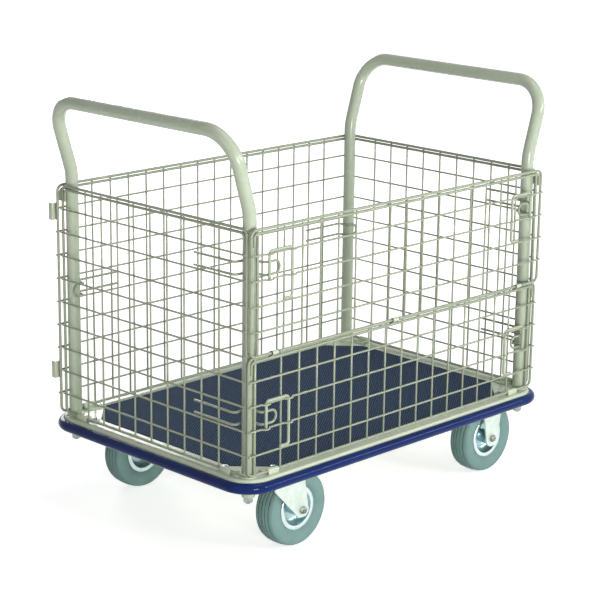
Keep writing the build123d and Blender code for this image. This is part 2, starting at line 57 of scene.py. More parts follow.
# Handles, whose legs are the corner posts.
POST_X, POST_Y, POST_LOW = 418.0, 265.0, 148.0
TUBE_R, TUBE_SIDES = 13.6, 40
LEAN_START, RISE, LEAN, TOP_BEND, LEAN_BEND = 713.0, 156.0, 17.0, 70.0, 110.0

# Mesh panels and gate halves: their planes, frames, wires and welds.
PITCH, ROD_R, WIRE_R, HOOK_R = 50.0, 3.0, 2.0, 2.5
RAIL_GAP, RAIL_TAIL, FRAME_BEND, STILE_INSET = 7.4, 32.0, 13.0, 17.0
PANEL_LOW = DECK_TOP + 6.0
GATE_Y = POST_Y + TUBE_R + ROD_R + 1.3
FLAP_Y = GATE_Y + 6.0
BACK_Y = POST_Y + TUBE_R + ROD_R + 0.3
END_X = POST_X + TUBE_R + ROD_R + 0.2
GATE_HALF, BACK_HALF = POST_X + TUBE_R + 4.8, POST_X + TUBE_R + 11.3
END_HALF = POST_Y + TUBE_R - 3.7
MIDDLE = PANEL_LOW + 4.84 * PITCH
PANEL_HIGH = MIDDLE + 4.97 * PITCH
GATE_HIGH, FLAP_LOW = MIDDLE - 4.0, MIDDLE
UPPER_ROWS = [MIDDLE + PITCH * k for k in (4, 3, 2, 1)]
LOWER_ROWS = [MIDDLE - PITCH * k for k in (1, 2, 3, 4)]
ALL_ROWS = UPPER_ROWS + [MIDDLE] + LOWER_ROWS
LONG_COLS, SHORT_COLS = 7, 4
WIRE_OUT = 1.25
ROW_OUT = WIRE_OUT + 2 * WIRE_R - 0.5
ROW_PAST = 2.0
BOLT_OUT = WIRE_OUT + WIRE_R + ROD_R + 0.3
KINK_OUT = BOLT_OUT + ROD_R + WIRE_R + 0.3
KINK_STEPS = ((-12.5, ROW_OUT), (-5.5, KINK_OUT), (5.5, KINK_OUT), (12.5, ROW_OUT))
KINK_BEND = 3.0
FRAME_SIDES, WIRE_SIDES, BENT_ROD_SIDES = 16, 12, 20
# Half sizes of the welds: along the panel, out from it, and up.
ROW_WELD, FRAME_WELD = (2.3, 1.5, 2.3), (2.4, 2.2, 1.6)
CROSSING_OUT, ROW_END_OUT, WIRE_END_OUT = (WIRE_OUT + ROW_OUT) / 2, ROW_OUT - 1.6, WIRE_OUT * 0.7
LONG_SIDES = ("gate", "flap", "back")

# Latch bolts, hairpin hooks and hinge clips.
SHORT_LEG, LONG_LEG = GATE_HALF - 42.0, LONG_COLS * PITCH - 17.0
LATCH_CLEAR, LATCH_TIP, LATCH_FOOT = 0.35, 3.0, 23.0
LATCH_BENDS = [9.0, 9.0, 6.0]
EYE_OUT = BOLT_OUT - ROD_R - HOOK_R - 0.4
HOOK_GAP, HOOK_DROP, BACK_HOOK_RISE = 25.0, 17.5, 39.0
HOOK_BEND, BACK_HOOK_BEND, HOOK_TIP_BEND = 9.0, 8.0, HOOK_GAP / 2 - 0.2
# Where the hairpins start, pass the posts and end, with small gaps to wires, posts and rods.
HOOK_PANEL_X, HOOK_START_Y = END_X + WIRE_OUT + WIRE_R + HOOK_R + 0.1, 65.0 - SHORT_COLS * PITCH
HOOK_POST_X, HOOK_POST_Y = POST_X - TUBE_R - HOOK_R - 0.8, POST_Y - TUBE_R - HOOK_R - 0.5
HOOK_TIP_X = LONG_COLS * PITCH + 12.0
BACK_HOOK_PANEL_Y, BACK_HOOK_START_X = BACK_Y + WIRE_OUT - WIRE_R - HOOK_R - 0.1, LONG_COLS * PITCH - 60.0
BACK_HOOK_POST_X, BACK_HOOK_POST_Y = POST_X - TUBE_R - HOOK_R - 0.5, POST_Y - TUBE_R - HOOK_R - 0.3
BACK_HOOK_TIP_X = END_X - ROD_R - HOOK_R - 1.5
CLIP_XS, CLIP_SIDES = (-372.0, -27.0, 372.0), 48
CLIP_BORE, CLIP_OUT, CLIP_HALF, CLIP_END = 3.1, 4.3, 8.2, 11.0

# Casters.
SWIVEL_X, SWIVEL_Y, TRAIL, FIXED_X, FIXED_Y, AXLE_Z = 305.0, 235.0, 35.0, 352.0, 215.0, 80.0
WHEEL_R, TYRE_HALF, RIM_R = 80.0, 26.0, 46.0
FLANGE = TYRE_HALF - 5.25
AXLE_GRIP, HUB_HALF, FORK_GAP = 35.0, 27.0, 31.0
AXLE_R, NUT_R, SLEEVE_R = 5.9, 8.3, 10.0
FLANK_AXIAL, FLANK_RADIAL, FLANK_WIDE, FLANK_HIGH = 14.6, 63.4, 11.4, 16.6
TREAD_DROP, TREAD_HALF = 2.4, 20.0
TYRE_SEGMENTS, RIM_SEGMENTS, SLEEVE_SIDES, ROUND, HEXAGON = 120, 96, 40, 32, 6
NUT_TURN = 0.3

# Colours, as linear red, green and blue.
# The mat's dark and light colours are painted shade in the rib valleys and painted highlight on the crests.
MAT_VALLEY_SHADE, MAT_MID, MAT_CREST_HIGHLIGHT = (0.001, 0.010, 0.030), (0.030, 0.050, 0.090), (0.044, 0.081, 0.145)
TYRE_DARK, TYRE_MID, TYRE_LIGHT = (0.158, 0.268, 0.250), (0.170, 0.285, 0.266), (0.182, 0.302, 0.282)
VINYL_DARK, VINYL_MID, VINYL_LIGHT = (0.002, 0.015, 0.104), (0.003, 0.018, 0.118), (0.004, 0.021, 0.132)
WHITE = (1, 1, 1, 1)


# Materials: each is built from noise or waves in object space, so it is the same from every side.
def new_material(name, color, rough, metal=0.0):
    mat = bpy.data.materials.new(name)
    mat.use_nodes = True
    tree = mat.node_tree
    shader = tree.nodes["Principled BSDF"]
    shader.inputs["Metallic"].default_value = metal
    shader.inputs["Roughness"].default_value = rough
    shader.inputs["Base Color"].default_value = (*color, 1.0)
    return mat, tree, shader


def coords(tree):
    return tree.nodes.new("ShaderNodeTexCoord").outputs["Object"]


def noise(tree, vector, scale, detail=4.0, rough=0.55):
    node = tree.nodes.new("ShaderNodeTexNoise")
    node.inputs["Scale"].default_value = scale
    node.inputs["Detail"].default_value = detail
    node.inputs["Roughness"].default_value = rough
    tree.links.new(vector, node.inputs["Vector"])
    return node.outputs["Fac"]


def spread(tree, value, low, high, out_low, out_high):
    node = tree.nodes.new("ShaderNodeMapRange")
    keys = ("From Min", "From Max", "To Min", "To Max")
    for key, number in zip(keys, (low, high, out_low, out_high)):
        node.inputs[key].default_value = number
    tree.links.new(value, node.inputs["Value"])
    return node.outputs["Result"]


def two_tone(tree, value, dark, light, low=0.35, high=0.65):
    ramp = tree.nodes.new("ShaderNodeValToRGB")
    for element, position, color in zip(ramp.color_ramp.elements, (low, high), (dark, light)):
        element.position = position
        element.color = (*color, 1.0)
    tree.links.new(value, ramp.inputs["Fac"])
    return ramp.outputs["Color"]


def math_node(tree, operation, first, second=None):
    # The second value is the output of a node, a plain number, or left out.
    node = tree.nodes.new("ShaderNodeMath")
    node.operation = operation
    tree.links.new(first, node.inputs[0])
    if isinstance(second, float):
        node.inputs[1].default_value = second
    elif second is not None:
        tree.links.new(second, node.inputs[1])
    return node.outputs["Value"]


def bump(tree, shader, height, strength, distance, under=None):
    node = tree.nodes.new("ShaderNodeBump")
    node.inputs["Strength"].default_value = strength
    node.inputs["Distance"].default_value = distance
    tree.links.new(height, node.inputs["Height"])
    if under is not None:
        tree.links.new(under.outputs["Normal"], node.inputs["Normal"])
    tree.links.new(node.outputs["Normal"], shader.inputs["Normal"])
    return node


def coat_with(tree, shader, tone, patches, rough_low, rough_high):
    # Colour from one pattern, and roughness that varies with another.
    tree.links.new(tone, shader.inputs["Base Color"])
    rough = spread(tree, patches, 0.3, 0.7, rough_low, rough_high)
    tree.links.new(rough, shader.inputs["Roughness"])


def paint_material(name, base):
    mat, tree, shader = new_material(name, base, 0.34)
    spot = coords(tree)
    dim, lit = tuple(0.96 * c for c in base), tuple(1.03 * c for c in base)
    tone = two_tone(tree, noise(tree, spot, 9.0), dim, lit)
    coat_with(tree, shader, tone, noise(tree, spot, 40.0), 0.20, 0.30)
    peel = bump(tree, shader, noise(tree, spot, 700.0, detail=2.0), strength=0.10, distance=0.0004)
    bump(tree, shader, noise(tree, spot, 60.0, detail=3.0), strength=0.05, distance=0.001, under=peel)
    shader.inputs["Specular IOR Level"].default_value = 0.35
    shader.inputs["Coat Weight"].default_value = 0.25
    shader.inputs["Coat Roughness"].default_value = 0.09
    return mat


def zinc_material(name, base, rough_low, rough_high, metal=1.0, mottle_and_glint_dim=0.86, grain=55.0):
    mat, tree, shader = new_material(name, base, 0.35, metal)
    spot = coords(tree)
    # Noise patches between a dimmed and the full base colour: faint mottling where the dim share is high, painted
    # glints and shade on the bolts and nuts where it is low.
    dim = tuple(mottle_and_glint_dim * c for c in base)
    tone = two_tone(tree, noise(tree, spot, grain, detail=5.0, rough=0.65), dim, base)
    coat_with(tree, shader, tone, noise(tree, spot, 130.0, detail=3.0), rough_low, rough_high)
    bump(tree, shader, noise(tree, spot, 450.0, detail=2.0), strength=0.03, distance=0.0003)
    return mat


def rubber_material():
    mat, tree, shader = new_material("grey_tyre", TYRE_MID, 0.68)
    spot = coords(tree)
    tone = two_tone(tree, noise(tree, spot, 30.0, detail=6.0, rough=0.6), TYRE_DARK, TYRE_LIGHT)
    coat_with(tree, shader, tone, noise(tree, spot, 90.0), 0.62, 0.82)
    grain = bump(tree, shader, noise(tree, spot, 1400.0, detail=2.0), strength=0.12, distance=0.0003)
    bump(tree, shader, noise(tree, spot, 120.0, detail=3.0), strength=0.06, distance=0.001, under=grain)
    return mat


def vinyl_material():
    mat, tree, shader = new_material("blue_vinyl", VINYL_MID, 0.12)
    spot = coords(tree)
    tone = two_tone(tree, noise(tree, spot, 14.0), VINYL_DARK, VINYL_LIGHT)
    coat_with(tree, shader, tone, noise(tree, spot, 70.0), 0.08, 0.14)
    bump(tree, shader, noise(tree, spot, 25.0, detail=2.0), strength=0.05, distance=0.0015)
    shader.inputs["Specular IOR Level"].default_value = 0.12
    return mat


def slant_wave(tree, spot, degrees, pitch, phase):
    # A sine that repeats across lines drawn at an angle to X.
    angle = math.radians(degrees)
    turn = 2 * math.pi / pitch
    dot = tree.nodes.new("ShaderNodeVectorMath")
    dot.operation = "DOT_PRODUCT"
    dot.inputs[1].default_value = (turn * math.sin(angle), -turn * math.cos(angle), 0.0)
    tree.links.new(spot, dot.inputs[0])
    return math_node(tree, "SINE", math_node(tree, "ADD", dot.outputs["Value"], phase))


def mat_material():
    # Rib crests painted pale as highlight and valleys near black as shade, lined up with the ribs of the mesh,
    # crossed by fainter lines.
    mat, tree, shader = new_material("navy_mat", MAT_MID, 0.55)
    spot = coords(tree)
    crest_phase = math.pi / 2 - 2 * math.pi * sum(RIB_CREST) / 2
    ribs = slant_wave(tree, spot, MAT_SLANT, MAT_PITCH * MM, crest_phase)
    lines = slant_wave(tree, spot, -MAT_SLANT, MAT_PITCH * MM, 0.0)
    crest = math_node(tree, "MAXIMUM", ribs, spread(tree, lines, -1.0, 1.0, -1.0, 0.55))
    share = spread(tree, crest, -1.0, 1.0, 0.0, 1.0)
    tone = two_tone(tree, share, MAT_VALLEY_SHADE, MAT_CREST_HIGHLIGHT, low=0.30, high=0.95)
    coat_with(tree, shader, tone, noise(tree, spot, 160.0), 0.46, 0.68)
    grain = bump(tree, shader, noise(tree, spot, 900.0, detail=3.0), strength=0.2, distance=0.0004)
    bump(tree, shader, crest, strength=0.5, distance=0.0004, under=grain)
    shader.inputs["Specular IOR Level"].default_value = 0.04
    return mat


PAINT = paint_material("cream_enamel", (0.540, 0.612, 0.462))
# Painted shade: a darker copy of the cream enamel for the push handles, standing for the shade on them.
TUBE_SHADED_PAINT = paint_material("tube_enamel_painted_shade", (0.470, 0.535, 0.405))
# Painted shade: a much darker copy of the cream enamel for the mesh wires and hairpins, standing for the shade on
# the thin wires.
WIRE_SHADED_PAINT = paint_material("wire_enamel_painted_shade", (0.308, 0.348, 0.246))
# Painted shade: a darker copy of the cream enamel for the latch bolts, standing for the shade on them.
ROD_SHADED_PAINT = paint_material("rod_enamel_painted_shade", (0.400, 0.453, 0.335))
ZINC = zinc_material("bright_zinc", (0.70, 0.80, 0.81), 0.24, 0.38)
# Painted glints and shade: small noise patches from near black to bright on the clip bolts.
BOLT_ZINC_PAINTED_GLINTS = zinc_material("bolt_zinc_painted_glints", (0.80, 0.90, 0.90), 0.10, 0.22, mottle_and_glint_dim=0.06, grain=190.0)
PLUG_ZINC = zinc_material("plug_zinc", (0.42, 0.48, 0.44), 0.30, 0.45, metal=0.6, mottle_and_glint_dim=0.55, grain=110.0)
# Painted shade and reflection: a darker, bluer copy of the bright zinc for the rim's dish, standing for the shade
# and blue reflection inside the rim.
DISH_SHADED_ZINC = zinc_material("dish_zinc_painted_shade", (0.40, 0.56, 0.58), 0.26, 0.40)
FORK_ZINC = zinc_material("pale_zinc", (0.70, 0.80, 0.73), 0.42, 0.58, metal=0.45)
# Painted glints and shade: small noise patches from near black to the base colour on the axle bolts and nuts.
DARK_STEEL_PAINTED_GLINTS = zinc_material("dark_nut_painted_glints", (0.42, 0.46, 0.38), 0.20, 0.34, mottle_and_glint_dim=0.12, grain=190.0)
# Painted shade: near black for the bands at the clip ends, standing for the shade in the rolled ends.
CLIP_END_SHADE = zinc_material("clip_end_painted_shade", (0.030, 0.030, 0.028), 0.45, 0.6, metal=0.0)
RUBBER = rubber_material()
VINYL = vinyl_material()
NAVY = mat_material()


# Mesh helpers.
def apply_modifiers(obj):
    bpy.context.view_layer.update()
    depsgraph = bpy.context.evaluated_depsgraph_get()
    mesh = bpy.data.meshes.new_from_object(obj.evaluated_get(depsgraph))
    obj.modifiers.clear()
    obj.data = mesh


def bevel_edges(obj, width, degrees):
    mod = obj.modifiers.new("bevel", "BEVEL")
    mod.width = width * MM
    mod.segments = 2
    mod.limit_method = "ANGLE"
    mod.angle_limit = math.radians(degrees)
    apply_modifiers(obj)


def shade_smooth(obj, degrees):
    # Smooth shading, with edges sharper than this angle kept crisp.
    for face in obj.data.polygons:
        face.use_smooth = True
    bm = bmesh.new()
    bm.from_mesh(obj.data)
    limit = math.radians(degrees)
    for edge in bm.edges:
        if len(edge.link_faces) == 2:
            edge.smooth = edge.calc_face_angle() < limit
    bm.to_mesh(obj.data)
    bm.free()


def finish_mesh(bm, name, material, smooth=True, bevel=0.0):
    bmesh.ops.recalc_face_normals(bm, faces=bm.faces)
    mesh = bpy.data.meshes.new(name)
    bm.to_mesh(mesh)
    bm.free()
    mesh.transform(Matrix.Scale(MM, 4))
    mesh.materials.append(material)
    obj = bpy.data.objects.new(name, mesh)
    bpy.context.scene.collection.objects.link(obj)
    if bevel:
        bevel_edges(obj, bevel, degrees=35)
    if smooth:
        shade_smooth(obj, degrees=40)
    return obj


def place(obj, body, slot, *nodes):
    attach(obj, body)
    if nodes:
        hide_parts(*nodes)
    return obj


def circle(bm, centre, u, v, radius, sides, turn=0.0):
    ring = []
    for k in range(sides):
        angle = 2 * math.pi * k / sides + turn
        spot = centre + u * (radius * math.cos(angle)) + v * (radius * math.sin(angle))
        ring.append(bm.verts.new(spot))
    return ring


def bridge(bm, a, b):
    # Faces between two rings that have the same number of vertices.
    count = len(a)
    for k in range(count):
        bm.faces.new((a[k], a[(k + 1) % count], b[(k + 1) % count], b[k]))


def cap_ends(bm, rings):
    bm.faces.new(list(reversed(rings[0])))
    bm.faces.new(rings[-1])


def skin_loops(bm, loops):
    rows = [[bm.verts.new(p) for p in loop] for loop in loops]
    for a, b in zip(rows, rows[1:]):
        bridge(bm, a, b)
    return rows


def mirrored(half):
    # The other half of a profile of (axial, radial) points, in the order that goes on from the first.
    return [(-axial, radial) for axial, radial in reversed(half)]


def fillet_path(points, radii, closed=False, step=8.0):
    # Straight runs joined by arcs of the given radius at each corner, a step being an arc's degrees.
    points = [Vector(p) for p in points]
    count = len(points)
    corners = range(count) if closed else range(1, count - 1)
    if not isinstance(radii, (list, tuple)):
        radii = [radii] * len(corners)
    path = [] if closed else [points[0]]
    for corner, radius in zip(corners, radii):
        before = (points[corner - 1] - points[corner]).normalized()
        after = (points[(corner + 1) % count] - points[corner]).normalized()
        turn = math.pi - before.angle(after)
        reach = radius * math.tan(turn / 2)
        start = points[corner] + before * reach
        centre = points[corner] + (before + after).normalized() * (radius / math.cos(turn / 2))
        arm = start - centre
        axis = before.cross(after).normalized()
        steps = max(2, int(math.degrees(turn) / step))
        for k in range(steps + 1):
            path.append(centre + Matrix.Rotation(-turn * k / steps, 3, axis) @ arm)
    if not closed:
        path.append(points[-1])
    return path


def tube(bm, path, radius, sides, closed=False):
    # A round rod along a path. Its ends are softly domed, unless it is a closed loop.
    path = [Vector(p) for p in path]
    count = len(path)
    tangents = []
    for i in range(count):
        if closed:
            before, after = path[i - 1], path[(i + 1) % count]
        else:
            before, after = path[max(i - 1, 0)], path[min(i + 1, count - 1)]
        tangents.append((after - before).normalized())
    normal = tangents[0].orthogonal().normalized()
    rings = []
    for i in range(count):
        if i:
            swing = tangents[i - 1].rotation_difference(tangents[i])
            normal = (swing @ normal).normalized()
        rings.append((path[i], normal.copy(), tangents[i].cross(normal), radius))
    if not closed:
        front, back = [], []
        for past, share in ((0.30, 0.62), (0.16, 0.90)):
            for row, ring, out in ((front, rings[0], -tangents[0]), (back, rings[-1], tangents[-1])):
                row.append((ring[0] + out * (past * radius), ring[1], ring[2], share * radius))
        rings = front + rings + back[::-1]
    loops = [circle(bm, *ring, sides) for ring in rings]
    for a, b in zip(loops, loops[1:]):
        bridge(bm, a, b)
    if closed:
        last, first = loops[-1], loops[0]
        shift = min(range(sides), key=lambda s: (last[0].co - first[s].co).length)
        bridge(bm, last, first[shift:] + first[:shift])
    else:
        cap_ends(bm, loops)


def revolve(profile, centre, segments):
    # A closed profile of (axial, radial) points turned about a line along Y.
    bm = bmesh.new()
    rings = []
    for k in range(segments):
        angle = 2 * math.pi * k / segments
        ring = []
        for axial, radial in profile:
            spot = (radial * math.cos(angle), axial, radial * math.sin(angle))
            ring.append(bm.verts.new(Vector(centre) + Vector(spot)))
        rings.append(ring)
    for a, b in zip(rings, rings[1:] + rings[:1]):
        bridge(bm, a, b)
    return bm


def rounded_rect(length, width, radius, z, arc=14, run=10):
    # Points round a rounded rectangle, from the +Y end of its +X side, the straight runs divided too.
    points = []
    for sx, sy, start in ((1, 1, 0), (-1, 1, 90), (-1, -1, 180), (1, -1, 270)):
        cx, cy = sx * (length / 2 - radius), sy * (width / 2 - radius)
        for k in range(arc + 1):
            angle = math.radians(start + 90 * k / arc)
            points.append(Vector((cx + radius * math.cos(angle), cy + radius * math.sin(angle), z)))
    longest_chord = 60
    full = []
    for a, b in zip(points, points[1:] + points[:1]):
        full.append(a)
        if (b - a).length > longest_chord:
            full += [a.lerp(b, k / run) for k in range(1, run)]
    return full


def mat_points(grow, z):
    # The mat outline, with its corners cut off and softened.
    hx, hy, cut = MAT_L / 2 + grow, MAT_W / 2 + grow, MAT_CUT + MAT_CUT_GROWTH * grow
    sharp = [(hx, hy - cut), (hx - cut, hy), (cut - hx, hy), (-hx, hy - cut)]
    sharp += [(-hx, cut - hy), (cut - hx, -hy), (hx - cut, -hy), (hx, cut - hy)]
    return fillet_path([(x, y, z) for x, y in sharp], MAT_BEND + grow, True, 9.0)


def side_point(side, along, out, z):
    # A point on one side of the cage: along it, out from the middle of its rods, and up.
    if side == "gate":
        return Vector((along, -GATE_Y - out, z))
    if side == "flap":
        return Vector((along, -FLAP_Y - out, z))
    if side == "back":
        return Vector((along, BACK_Y + out, z))
    if side == "swivel_end":
        return Vector((-END_X - out, along, z))
    return Vector((END_X + out, along, z))


# Mesh panels and gate halves.
def mesh_panel(name, side, half, low, high, cols, rows, kinked, body):
    bm = bmesh.new()

    def line(*spots):
        return [side_point(side, along, out, z) for along, out, z in spots]

    def weld(along, out, z, size):
        u, v, up = size
        spread_out = (u, v, up, 1.0) if side in LONG_SIDES else (v, u, up, 1.0)
        spot = Matrix.Translation(side_point(side, along, out, z))
        bmesh.ops.create_icosphere(bm, subdivisions=2, radius=1.0, matrix=spot @ Matrix.Diagonal(spread_out))

    loop = line((-half, 0, low), (half, 0, low), (half, 0, high), (-half, 0, high))
    tube(bm, fillet_path(loop, FRAME_BEND, True), ROD_R, FRAME_SIDES, True)
    inner, rail, tail = half - RAIL_GAP, high - RAIL_GAP, high - RAIL_TAIL
    second_rail = line((-inner, 0, tail), (-inner, 0, rail), (inner, 0, rail), (inner, 0, tail))
    tube(bm, fillet_path(second_rail, FRAME_BEND - 4.0), ROD_R, FRAME_SIDES)
    columns = [k * PITCH for k in range(-cols, cols + 1)]
    for along in columns:
        tube(bm, line((along, WIRE_OUT, low), (along, WIRE_OUT, high)), WIRE_R, WIRE_SIDES)
    if side in ("gate", "flap"):
        for along in (STILE_INSET - half, half - STILE_INSET):
            tube(bm, line((along, 0, low), (along, 0, high)), ROD_R, FRAME_SIDES)
    for z in rows:
        ends = [(-half - ROW_PAST, ROW_OUT, z), (half + ROW_PAST, ROW_OUT, z)]
        if z in kinked:
            kinks = []
            for leg in sorted((-SHORT_LEG, -LONG_LEG, LONG_LEG, SHORT_LEG)):
                kinks += [(leg + shift, out, z) for shift, out in KINK_STEPS]
            path = fillet_path(line(ends[0], *kinks, ends[1]), KINK_BEND, False, 12.0)
        else:
            path = line(*ends)
        tube(bm, path, WIRE_R, WIRE_SIDES)
        for along in columns:
            weld(along, CROSSING_OUT, z, ROW_WELD)
        for along in (-half, half):
            weld(along, ROW_END_OUT, z, ROW_WELD)
    for along in columns:
        for z in (low + ROD_R, rail - ROD_R):
            weld(along, WIRE_END_OUT, z, FRAME_WELD)
    place(finish_mesh(bm, "wire_" + name, WIRE_SHADED_PAINT), body, "cream_paint", name)


# Deck: the pressed sheet as a closed skin, rim and sunk floor included.
def fill_between(bm, outer, inner, normal):
    edges = []
    for row in (outer, inner):
        for a, b in zip(row, row[1:] + row[:1]):
            edges.append(bm.edges.get((a, b)))
    bmesh.ops.triangle_fill(bm, use_beauty=True, edges=edges, normal=normal)


def build_deck():
    def ring(inset, z):
        return rounded_rect(DECK_L - 2 * inset, DECK_W - 2 * inset, DECK_R - inset, z)

    # The rim is listed as (inset, height), the well and its underside as (growth of the mat, height).
    inner_round = RIM - SHEET
    rim = [(RIM + 2.0, DECK_TOP - SHEET)]
    for k in range(4, -1, -1):
        angle = math.radians(22.5 * k)
        inset = SHEET + inner_round * (1 - math.cos(angle))
        rim.append((inset, DECK_TOP - RIM + inner_round * math.sin(angle)))
    rim += [(SHEET, DECK_LOW + 0.4), (SHEET - 0.4, DECK_LOW), (0.4, DECK_LOW), (0.0, DECK_LOW + 0.4)]
    for k in range(0, 9):
        angle = math.radians(11.25 * k)
        rim.append((RIM * (1 - math.cos(angle)), DECK_TOP - RIM + RIM * math.sin(angle)))
    rim.append((RIM + 1.5, DECK_TOP))
    pan = [(4.4, DECK_TOP), (3.4, DECK_TOP), (2.5, DECK_TOP - 0.1), (1.6, DECK_TOP - 0.5)]
    pan += [(0.9, DECK_TOP - 1.2), (0.5, MAT_FLOOR + 0.3), (0.35, MAT_FLOOR), (-3.0, MAT_FLOOR)]
    under = [(SHEET + 3.0, DECK_TOP - SHEET), (SHEET, DECK_TOP - SHEET - 0.02), (SHEET, MAT_FLOOR - SHEET)]
    bm = bmesh.new()
    skirt = skin_loops(bm, [ring(*step) for step in rim])
    well = skin_loops(bm, [mat_points(*step) for step in pan])
    below = skin_loops(bm, [mat_points(*step) for step in under])
    fill_between(bm, skirt[-1], well[0], (0, 0, 1))
    fill_between(bm, skirt[0], below[0], (0, 0, -1))
    bm.faces.new(well[-1])
    bm.faces.new(below[-1])
    place(finish_mesh(bm, "pressed_deck", PAINT), "frame", "cream_paint", "deck")


# Bumper: a D section strip round the deck edge, listed as (distance out, height).
def build_bumper():
    section = [(0.05, DECK_LOW), (3.0, DECK_LOW)]
    middle, half = (DECK_LOW + BUMPER_TOP) / 2, (BUMPER_TOP - DECK_LOW) / 2
    for k in range(0, 19):
        angle = math.radians(-90 + 10 * k)
        out = BUMPER_FLAT + (BULGE - BUMPER_FLAT) * math.cos(angle)
        section.append((out, middle + half * math.sin(angle)))
    section += [(3.0, BUMPER_TOP), (1.2, BUMPER_TOP - 0.2), (0.05, BUMPER_TOP - 0.9)]
    loops = []
    for out, z in section:
        loops.append(rounded_rect(DECK_L + 2 * out, DECK_W + 2 * out, DECK_R + out, z, 24, 12))
    bm = bmesh.new()
    skin_loops(bm, loops + loops[:1])
    bmesh.ops.remove_doubles(bm, verts=bm.verts, dist=0.001)
    place(finish_mesh(bm, "bumper_strip", VINYL), "frame", "blue_bumper", "bumper")


# Mat: fine slanting ribs, cut to the outline, over a thin body.
def open_edges(bm):
    return [edge for edge in bm.edges if len(edge.link_faces) == 1]


def build_mat():
    outline = mat_points(0.0, 0.0)
    bm = bmesh.new()
    rib = [(share, MAT_TOP - MAT_RIB) for share in RIB_VALLEY] + [(share, MAT_TOP) for share in RIB_CREST]
    along = Vector((math.cos(math.radians(MAT_SLANT)), math.sin(math.radians(MAT_SLANT)), 0))
    across = Vector((along.y, -along.x, 0))
    reach = 0.75 * (MAT_L + MAT_W) / 2
    count = int(reach / MAT_PITCH) + 2
    rows = []
    for k in range(-count, count + 1):
        for share, z in rib:
            offset = across * ((k + share) * MAT_PITCH)
            row = []
            for far in (-1.0, -0.33, 0.33, 1.0):
                spot = offset + along * (reach * far)
                row.append(bm.verts.new((spot.x, spot.y, z)))
            rows.append(row)
    for a, b in zip(rows, rows[1:]):
        for k in range(len(a) - 1):
            bm.faces.new((a[k], a[k + 1], b[k + 1], b[k]))
    for a, b in zip(outline, outline[1:] + outline[:1]):
        run = b - a
        if run.length < 1e-6:
            continue
        outward = Vector((run.y, -run.x, 0)).normalized()
        everything = bm.verts[:] + bm.edges[:] + bm.faces[:]
        bmesh.ops.bisect_plane(
            bm, geom=everything, dist=1e-5, plane_co=a, plane_no=outward, clear_outer=True
        )
    grown = bmesh.ops.extrude_edge_only(bm, edges=open_edges(bm))["geom"]
    for vert in grown:
        if isinstance(vert, bmesh.types.BMVert):
            vert.co.z = MAT_FLOOR + 0.05
    bmesh.ops.contextual_create(bm, geom=open_edges(bm))
    place(finish_mesh(bm, "ribbed_mat", NAVY, False), "frame", "navy_mat", "deck_mat")


# Push handles: one smooth bent tube each, with closed lower ends.
def build_handle(name, sign):
    lean = RISE * math.tan(math.radians(LEAN))
    foot, bend = (sign * POST_X, -POST_Y, POST_LOW), (sign * POST_X, -POST_Y, LEAN_START)
    points = [foot, bend, (sign * (POST_X + lean), -POST_Y, LEAN_START + RISE)]
    points += [(x, -y, z) for x, y, z in reversed(points)]
    path = fillet_path(points, [LEAN_BEND, TOP_BEND, TOP_BEND, LEAN_BEND], False, 3.0)
    bm = bmesh.new()
    tube(bm, path, TUBE_R, TUBE_SIDES)
    place(finish_mesh(bm, "tube_" + name, TUBE_SHADED_PAINT), "frame", "cream_paint", name)


# Bent rods: the latch bolts and the hairpins.
def rod_piece(paths, radius, body, node, bends, material):
    bm = bmesh.new()
    for points in paths:
        tube(bm, fillet_path(points, bends, False, 9.0), radius, BENT_ROD_SIDES)
    place(finish_mesh(bm, "rod_" + node, material), body, "cream_paint", node)


def build_latches():
    halves = (("gate", "lower", LOWER_ROWS[1:4]), ("flap", "upper", UPPER_ROWS[0:3]))
    above_wire = WIRE_R + ROD_R + LATCH_CLEAR
    for side, half_name, levels in halves:
        arm_z, foot_z = levels[0] + above_wire, levels[2] + above_wire
        for end, sign in (("swivel_end", -1), ("fixed_end", 1)):
            plan = [(SHORT_LEG, levels[1] - LATCH_TIP), (SHORT_LEG, arm_z), (LONG_LEG, arm_z)]
            plan += [(LONG_LEG, foot_z), (LONG_LEG + LATCH_FOOT, foot_z)]
            points = [side_point(side, sign * u, BOLT_OUT, z) for u, z in plan]
            node = "latch_" + half_name + "_" + end
            rod_piece([points], ROD_R, node, node, LATCH_BENDS, ROD_SHADED_PAINT)


def hairpin(plan, tip, high):
    # Along a plan at one height, round the tip, and back along the plan lower down.
    low = high - HOOK_GAP
    points = [(x, y, high) for x, y in plan] + [(*tip, high), (*tip, low)]
    return points + [(x, y, low) for x, y in reversed(plan)]


def hairpin_bends(bend, corners):
    return [bend] * corners + [HOOK_TIP_BEND] * 2 + [bend] * corners


